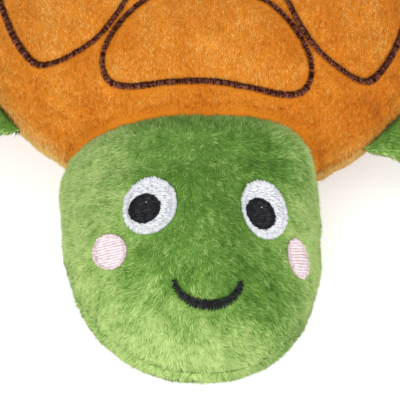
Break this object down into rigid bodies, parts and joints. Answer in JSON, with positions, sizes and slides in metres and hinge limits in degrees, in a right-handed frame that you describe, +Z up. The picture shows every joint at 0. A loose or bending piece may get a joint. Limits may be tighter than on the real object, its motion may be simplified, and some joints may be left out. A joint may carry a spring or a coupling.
{
  "type": "plush turtle",
  "caption": "Stuffed turtle toy lying on its belly: domed shell with stitched scute outlines, head with a stitched face, flippers and a tail on soft sewn seams.",
  "frame": {"origin": "centre of the flat on which the belly rests, on the table", "axes": "+Z up, -Y the way the face looks, +X towards the turtle's own left"},
  "size_m": [0.3573, 0.353, 0.088],
  "materials": {
    "orange_plush": "short brushed pile",
    "green_plush": "short brushed pile",
    "polyester_filling": "loose fibre",
    "brown_satin_thread": "satin stitching",
    "white_satin_thread": "satin stitching",
    "black_satin_thread": "satin stitching",
    "pink_satin_thread": "satin stitching"
  },
  "bodies": {
    "shell": {"carapace_cover": "orange_plush", "belly_cover": "orange_plush", "body_filling": "polyester_filling", "front_scute_outline": "brown_satin_thread", "rear_scute_outline": "brown_satin_thread", "centre_scute_outline": "brown_satin_thread", "front_left_scute_outline": "brown_satin_thread", "front_right_scute_outline": "brown_satin_thread", "rear_left_scute_outline": "brown_satin_thread", "rear_right_scute_outline": "brown_satin_thread"},
    "head": {"head_upper_cover": "green_plush", "head_lower_cover": "green_plush", "head_filling": "polyester_filling", "left_eye_white": "white_satin_thread", "right_eye_white": "white_satin_thread", "left_pupil": "black_satin_thread", "right_pupil": "black_satin_thread", "left_cheek": "pink_satin_thread", "right_cheek": "pink_satin_thread", "smile": "black_satin_thread"},
    "front_left_flipper": {"front_left_flipper_upper_cover": "green_plush", "front_left_flipper_lower_cover": "green_plush", "front_left_flipper_filling": "polyester_filling"},
    "front_right_flipper": {"front_right_flipper_upper_cover": "green_plush", "front_right_flipper_lower_cover": "green_plush", "front_right_flipper_filling": "polyester_filling"},
    "rear_left_flipper": {"rear_left_flipper_upper_cover": "green_plush", "rear_left_flipper_lower_cover": "green_plush", "rear_left_flipper_filling": "polyester_filling"},
    "rear_right_flipper": {"rear_right_flipper_upper_cover": "green_plush", "rear_right_flipper_lower_cover": "green_plush", "rear_right_flipper_filling": "polyester_filling"},
    "tail": {"tail_upper_cover": "green_plush", "tail_lower_cover": "green_plush", "tail_filling": "polyester_filling"}
  },
  "joints": [
    {"name": "neck_nod", "type": "hinge", "parent": "shell", "child": "head", "pos_m": [-0.0055, -0.117, 0.037], "axis": [-0.9972, -0.075, 0], "range_deg": [-8, 25], "stiffness_Nm_per_rad": 0.4},
    {"name": "front_left_flipper_flap", "type": "hinge", "parent": "shell", "child": "front_left_flipper", "pos_m": [0.09365, -0.07356, 0.034], "axis": [-0.5793, -0.8151, 0], "range_deg": [-10, 35], "stiffness_Nm_per_rad": 0.03},
    {"name": "front_right_flipper_flap", "type": "hinge", "parent": "shell", "child": "front_right_flipper", "pos_m": [-0.10003, -0.06361, 0.034], "axis": [-0.4987, 0.8668, 0], "range_deg": [-10, 35], "stiffness_Nm_per_rad": 0.03},
    {"name": "rear_left_flipper_flap", "type": "hinge", "parent": "shell", "child": "rear_left_flipper", "pos_m": [0.0896, 0.07894, 0.034], "axis": [0.6233, -0.782, 0], "range_deg": [-10, 35], "stiffness_Nm_per_rad": 0.015},
    {"name": "rear_right_flipper_flap", "type": "hinge", "parent": "shell", "child": "rear_right_flipper", "pos_m": [-0.0896, 0.07894, 0.034], "axis": [0.6233, 0.782, 0], "range_deg": [-10, 35], "stiffness_Nm_per_rad": 0.015},
    {"name": "tail_flap", "type": "hinge", "parent": "shell", "child": "tail", "pos_m": [0, 0.1229, 0.034], "axis": [1, 0, 0], "range_deg": [-15, 30], "stiffness_Nm_per_rad": 0.001}
  ]
}
